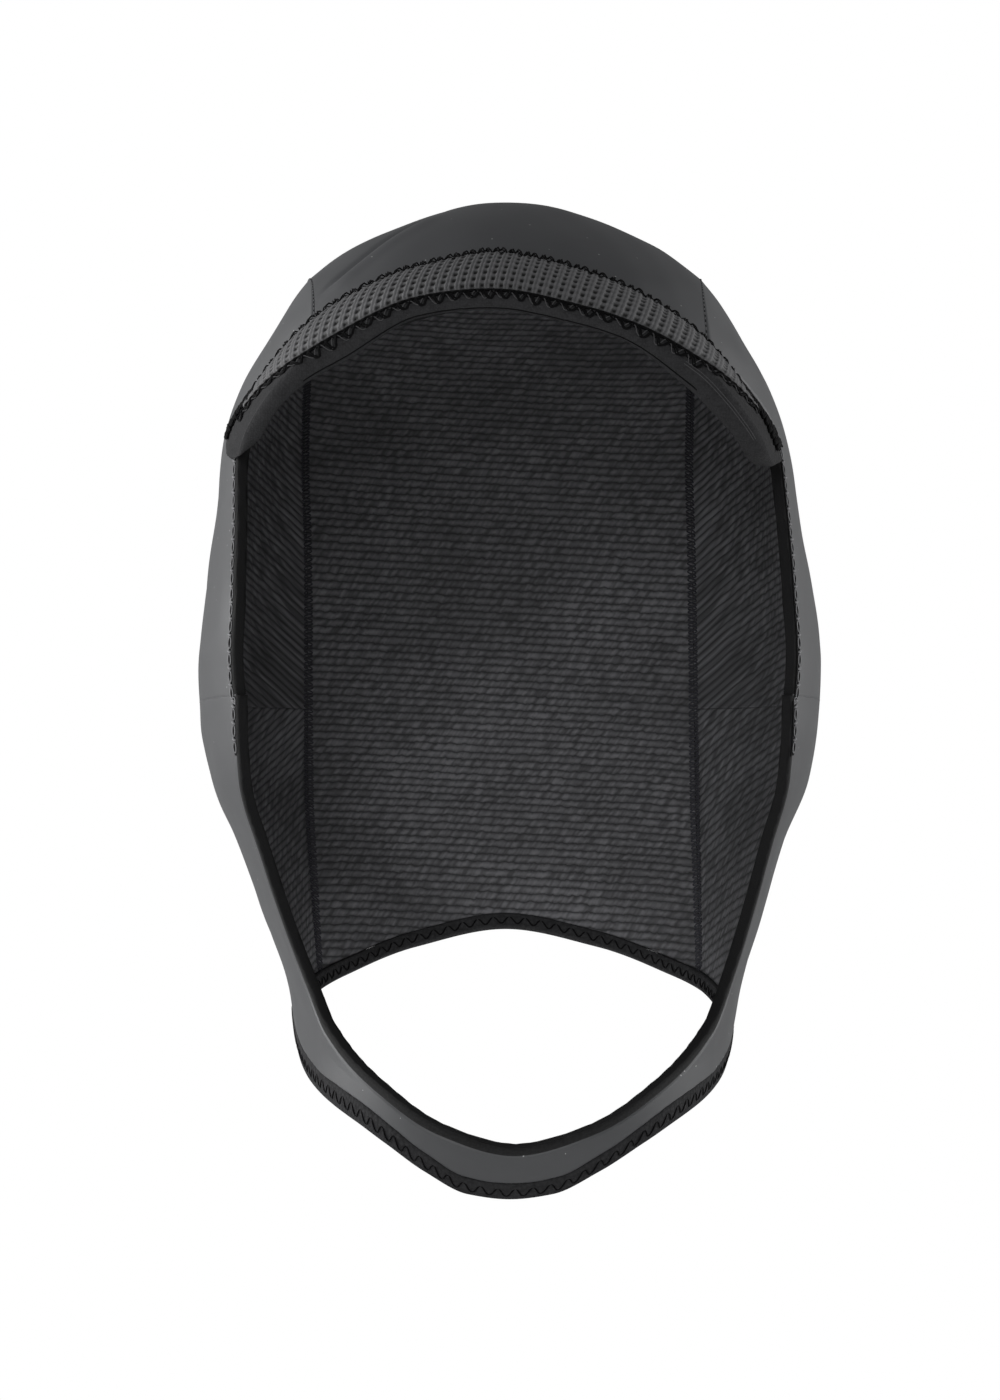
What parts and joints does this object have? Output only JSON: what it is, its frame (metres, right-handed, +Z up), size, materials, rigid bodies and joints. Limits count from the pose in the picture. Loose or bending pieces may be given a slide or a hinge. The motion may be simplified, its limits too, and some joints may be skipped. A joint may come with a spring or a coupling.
{
  "type": "neoprene surf hood",
  "caption": "Close-fitting neoprene hood with an open face, a padded crescent peak over the forehead, a chin strap that widens into the jaw panels, and a bound neck hem.",
  "frame": {"origin": "the highest point of the lining, where the crown of the head sits", "axes": "+Z up along the head, -Y out of the face, +X to the wearer's left"},
  "size_m": [0.16, 0.1864, 0.2512],
  "materials": {
    "neoprene_skin": "smooth-skin neoprene, satin, with a fine pebble and a few specks of dust",
    "knit_lining": "ribbed nylon knit bonded to the inside, also folded over the neck as a hem",
    "foam_edge": "cut and sealed edge of the foam sheet, matt",
    "bill_lip": "knit-covered foam, rolled to the front and matt",
    "ribbed_webbing": "coarse ribbed mesh of thick yarn",
    "thread": "spun polyester sewing thread"
  },
  "bodies": {
    "root": {"crown_panel": "neoprene_skin", "side_panel_left": "neoprene_skin", "side_panel_right": "neoprene_skin", "chin_strap": "neoprene_skin", "neck_hem": "knit_lining", "peak_bill": "bill_lip", "peak_band": "ribbed_webbing"}
  },
  "joints": []
}
